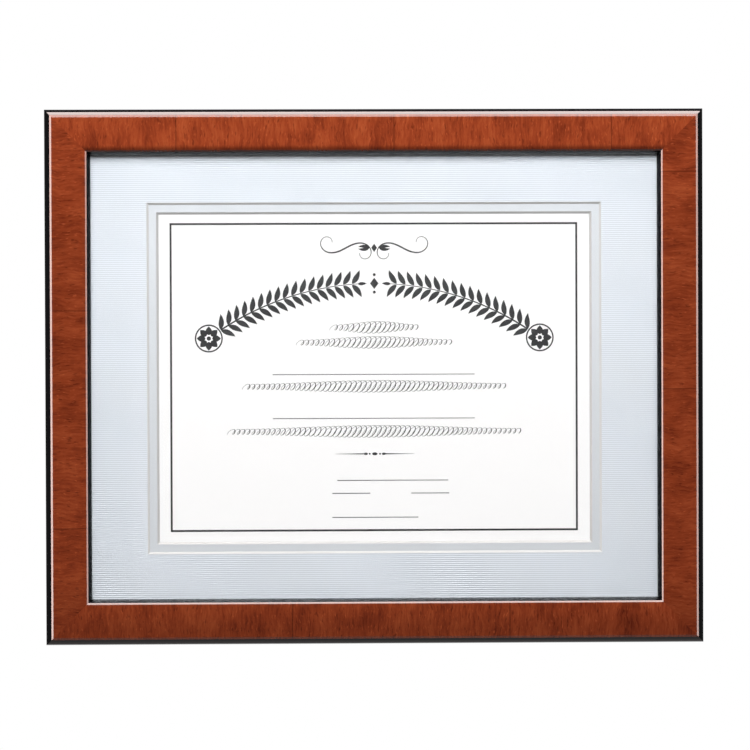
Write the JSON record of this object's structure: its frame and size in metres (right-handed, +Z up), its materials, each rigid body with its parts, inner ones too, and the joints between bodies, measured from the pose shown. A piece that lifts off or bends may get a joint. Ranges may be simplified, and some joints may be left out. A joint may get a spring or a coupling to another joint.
{
  "type": "certificate frame",
  "caption": "Wall-hung landscape certificate frame: mitred black moulding with a mahogany veneer face, glass, ribbed double mat, certificate, and a backing held by turn buttons.",
  "frame": {"origin": "on the wall plane, where the wall nail holds the centre notch of the top sawtooth hanger", "axes": "+X to the right as seen from the front, +Y towards the wall, +Z up; the glass faces -Y"},
  "size_m": [0.4064, 0.0213, 0.3302],
  "materials": {
    "black_lacquer": "gloss black lacquer on wood",
    "mahogany_veneer": "cross-banded mahogany veneer under gloss lacquer",
    "clear_glass": "clear polished sheet glass",
    "ribbed_mat": "silver-white mat board with fine horizontal ribs",
    "plain_mat": "plain silver-white mat board with a white bevel",
    "adhesive_tape": "thin double-sided tape",
    "certificate_paper": "smooth white paper with black print",
    "filler_card": "grey board",
    "hardboard": "brown hardboard",
    "zinc_steel": "zinc-plated steel",
    "brass_plate": "brass-plated steel",
    "bumper_rubber": "matt black rubber"
  },
  "bodies": {
    "frame": {"rail_top": "black_lacquer", "rail_bottom": "black_lacquer", "stile_left": "black_lacquer", "stile_right": "black_lacquer", "veneer_top": "mahogany_veneer", "veneer_bottom": "mahogany_veneer", "veneer_left": "mahogany_veneer", "veneer_right": "mahogany_veneer", "glazing": "clear_glass", "outer_mat": "ribbed_mat", "inner_mat": "plain_mat", "mat_tape": "adhesive_tape", "certificate": "certificate_paper", "filler_board": "filler_card", "backing_board": "hardboard", "turn_button_screws": "zinc_steel", "corner_nails": "zinc_steel", "sawtooth_hanger_top": "brass_plate", "sawtooth_hanger_side": "brass_plate", "hanger_nails": "brass_plate", "wall_bumpers": "bumper_rubber"},
    "turn_button_top_left": {"turn_button_top_left": "zinc_steel"},
    "turn_button_top_right": {"turn_button_top_right": "zinc_steel"},
    "turn_button_bottom_left": {"turn_button_bottom_left": "zinc_steel"},
    "turn_button_bottom_right": {"turn_button_bottom_right": "zinc_steel"},
    "turn_button_left_lower": {"turn_button_left_lower": "zinc_steel"},
    "turn_button_left_upper": {"turn_button_left_upper": "zinc_steel"},
    "turn_button_right_lower": {"turn_button_right_lower": "zinc_steel"},
    "turn_button_right_upper": {"turn_button_right_upper": "zinc_steel"}
  },
  "joints": [
    {"name": "turn_button_top_left_swivel", "type": "hinge", "parent": "frame", "child": "turn_button_top_left", "pos_m": [-0.095, -0.0035, -0.0034], "axis": [0, 1, 0], "continuous": true},
    {"name": "turn_button_top_right_swivel", "type": "hinge", "parent": "frame", "child": "turn_button_top_right", "pos_m": [0.095, -0.0035, -0.0034], "axis": [0, 1, 0], "continuous": true},
    {"name": "turn_button_bottom_left_swivel", "type": "hinge", "parent": "frame", "child": "turn_button_bottom_left", "pos_m": [-0.095, -0.0035, -0.2984], "axis": [0, 1, 0], "continuous": true},
    {"name": "turn_button_bottom_right_swivel", "type": "hinge", "parent": "frame", "child": "turn_button_bottom_right", "pos_m": [0.095, -0.0035, -0.2984], "axis": [0, 1, 0], "continuous": true},
    {"name": "turn_button_left_lower_swivel", "type": "hinge", "parent": "frame", "child": "turn_button_left_lower", "pos_m": [-0.1856, -0.0035, -0.2259], "axis": [0, 1, 0], "continuous": true},
    {"name": "turn_button_left_upper_swivel", "type": "hinge", "parent": "frame", "child": "turn_button_left_upper", "pos_m": [-0.1856, -0.0035, -0.0759], "axis": [0, 1, 0], "continuous": true},
    {"name": "turn_button_right_lower_swivel", "type": "hinge", "parent": "frame", "child": "turn_button_right_lower", "pos_m": [0.1856, -0.0035, -0.2259], "axis": [0, 1, 0], "continuous": true},
    {"name": "turn_button_right_upper_swivel", "type": "hinge", "parent": "frame", "child": "turn_button_right_upper", "pos_m": [0.1856, -0.0035, -0.0759], "axis": [0, 1, 0], "continuous": true}
  ]
}
